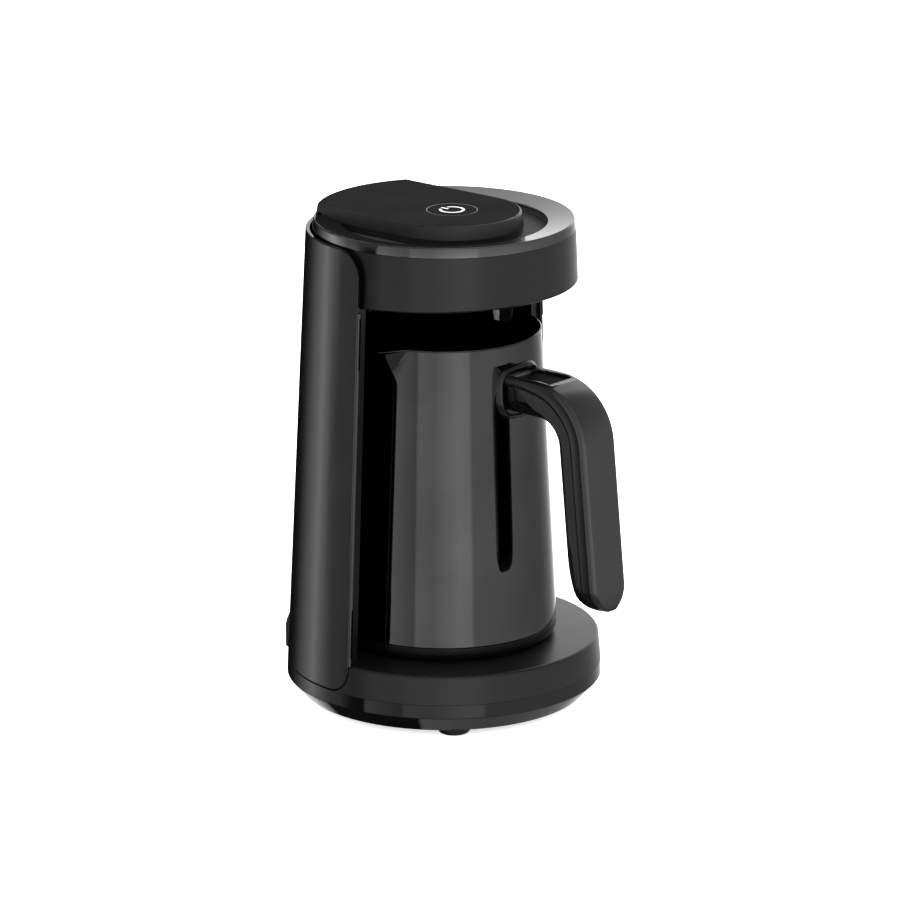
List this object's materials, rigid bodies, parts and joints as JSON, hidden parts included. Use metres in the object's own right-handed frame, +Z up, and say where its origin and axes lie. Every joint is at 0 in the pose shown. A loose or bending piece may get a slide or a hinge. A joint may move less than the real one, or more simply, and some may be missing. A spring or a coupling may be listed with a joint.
{
  "type": "electric turkish coffee maker",
  "caption": "Electric Turkish coffee maker: a lift-off pot with a side spout and long handle stands on a round base, under a head with a push button that a curved column carries.",
  "frame": {"origin": "centre of the footprint's box, on the table under the feet; the column's and pot's common vertical axis stands 11.82 mm behind it", "axes": "+Z up, -Y to the front where the handle points, +X to the right seen from the front"},
  "size_m": [0.155, 0.1859, 0.2458],
  "materials": {
    "satin_shell": "satin dark grey moulding",
    "gloss_shell": "high-gloss black",
    "matte_shell": "fine matte black texture",
    "pan_gloss": "glossy black",
    "trim_metal": "glossy gunmetal",
    "pot_metal": "glossy anthracite coating",
    "heat_plastic": "heat-proof satin black",
    "handle_black": "glossy black",
    "handle_grey": "satin-gloss dark grey",
    "foot_rubber": "matte black",
    "screw_steel": "zinc plated",
    "contact_brass": "bright",
    "circuit_board": "green solder mask",
    "relay_case": "blue moulding",
    "coil_tape": "yellow tape",
    "terminal_green": "green moulding",
    "wire_cover": "red flat cable",
    "clear_plastic": "clear polycarbonate",
    "symbol_white": "white insert",
    "switch_black": "matte",
    "switch_plunger": "white",
    "heater_aluminium": "cast",
    "element_steel": "heat-tinted sheath",
    "ceramic": "off-white ceramic"
  },
  "bodies": {
    "stand": {"bottom_pan": "pan_gloss", "rubber_feet": "foot_rubber", "base_screws": "screw_steel", "platform": "satin_shell", "power_spigot": "heat_plastic", "spigot_contacts": "contact_brass", "power_board": "circuit_board", "relay": "relay_case", "transformer": "coil_tape", "terminal_block": "terminal_green", "cord_outlet": "pan_gloss", "cord_gland": "foot_rubber", "column_frame": "satin_shell", "back_cover": "gloss_shell", "wire_loom": "wire_cover", "head_shell": "satin_shell", "head_underside": "matte_shell", "trim_ring": "trim_metal", "recess_floor": "matte_shell", "floor_screws": "screw_steel", "control_pod": "matte_shell", "light_ring": "clear_plastic", "switch_case": "switch_black", "status_leds": "clear_plastic", "buzzer": "switch_black", "control_board": "circuit_board", "board_screws": "screw_steel", "sensor_housing": "matte_shell", "sensor_window": "clear_plastic"},
    "button": {"power_button": "matte_shell", "power_symbol": "symbol_white", "switch_plunger": "switch_plunger"},
    "pot": {"pot_body": "pot_metal", "pot_base": "heat_plastic", "heater_plate": "heater_aluminium", "heating_element": "element_steel", "thermostat": "ceramic", "thermal_fuse": "ceramic", "pot_connector": "heat_plastic", "connector_contacts": "contact_brass", "pot_base_screws": "screw_steel", "handle_pad": "handle_black", "handle_bracket": "screw_steel", "handle_core": "handle_black", "handle_cover": "handle_grey", "handle_inlays": "handle_grey", "handle_screw": "screw_steel"}
  },
  "joints": [
    {"name": "button_press", "type": "slide", "parent": "stand", "child": "button", "axis": [0, 0, -1], "range_m": [0, 0.0006], "stiffness_N_per_m": 1500, "springref_m": -0.0006},
    {"name": "pot_lift", "type": "slide", "parent": "stand", "child": "pot", "axis": [0, 0, 1], "range_m": [0, 0.0075]}
  ]
}
